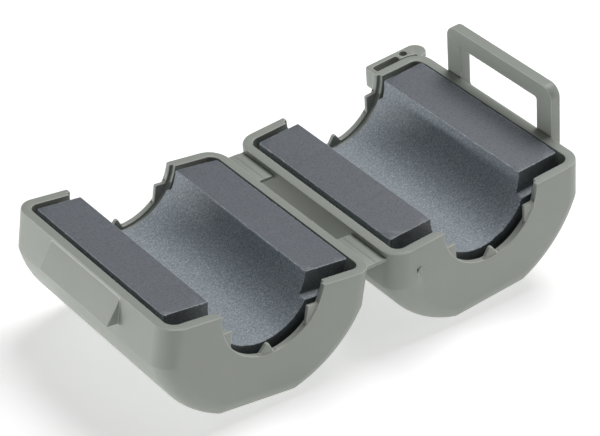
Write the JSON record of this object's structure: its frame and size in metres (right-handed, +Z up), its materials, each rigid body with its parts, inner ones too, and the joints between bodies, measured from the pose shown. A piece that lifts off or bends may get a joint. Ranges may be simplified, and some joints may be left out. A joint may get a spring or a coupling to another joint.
{
  "type": "clip-on ferrite bead",
  "caption": "Hinged two-part cable filter, shown open: rounded nylon casing halves with ferrite half cores, gripping teeth, a latch loop with its catch, and a tie slot.",
  "frame": {"origin": "on the ground under the middle of the open clip's bounding box", "axes": "+X from the catch half to the loop half, +Y along the cable towards the tie bracket's end, +Z up"},
  "size_m": [0.0622, 0.0319, 0.0225],
  "materials": {
    "casing": "satin moulded nylon, grey with a slight green cast",
    "ferrite": "sintered ferrite: smooth ground mating faces, grainy unground bore"
  },
  "bodies": {
    "loop_half": {"loop_half_casing": "casing", "loop_half_core": "ferrite"},
    "hinge_straps": {"front_hinge_strap": "casing", "back_hinge_strap": "casing"},
    "catch_half": {"catch_half_casing": "casing", "catch_half_core": "ferrite"},
    "latch": {"latch_loop": "casing"}
  },
  "joints": [
    {"name": "strap_fold", "type": "hinge", "parent": "loop_half", "child": "hinge_straps", "pos_m": [0.00098, -0.00088, 0.0121], "axis": [0, 1, 0], "range_deg": [-6, 84]},
    {"name": "catch_half_fold", "type": "hinge", "parent": "hinge_straps", "child": "catch_half", "pos_m": [-0.00112, -0.00088, 0.0121], "axis": [0, 1, 0], "range_deg": [-6, 84]},
    {"name": "latch_flex", "type": "hinge", "parent": "loop_half", "child": "latch", "pos_m": [0.03021, -0.00088, 0.01271], "axis": [0, 1, 0], "range_deg": [0, 12], "stiffness_Nm_per_rad": 0.2}
  ],
  "couplings": [
    {"joint": "catch_half_fold", "follows": "strap_fold", "ratio": 1}
  ]
}
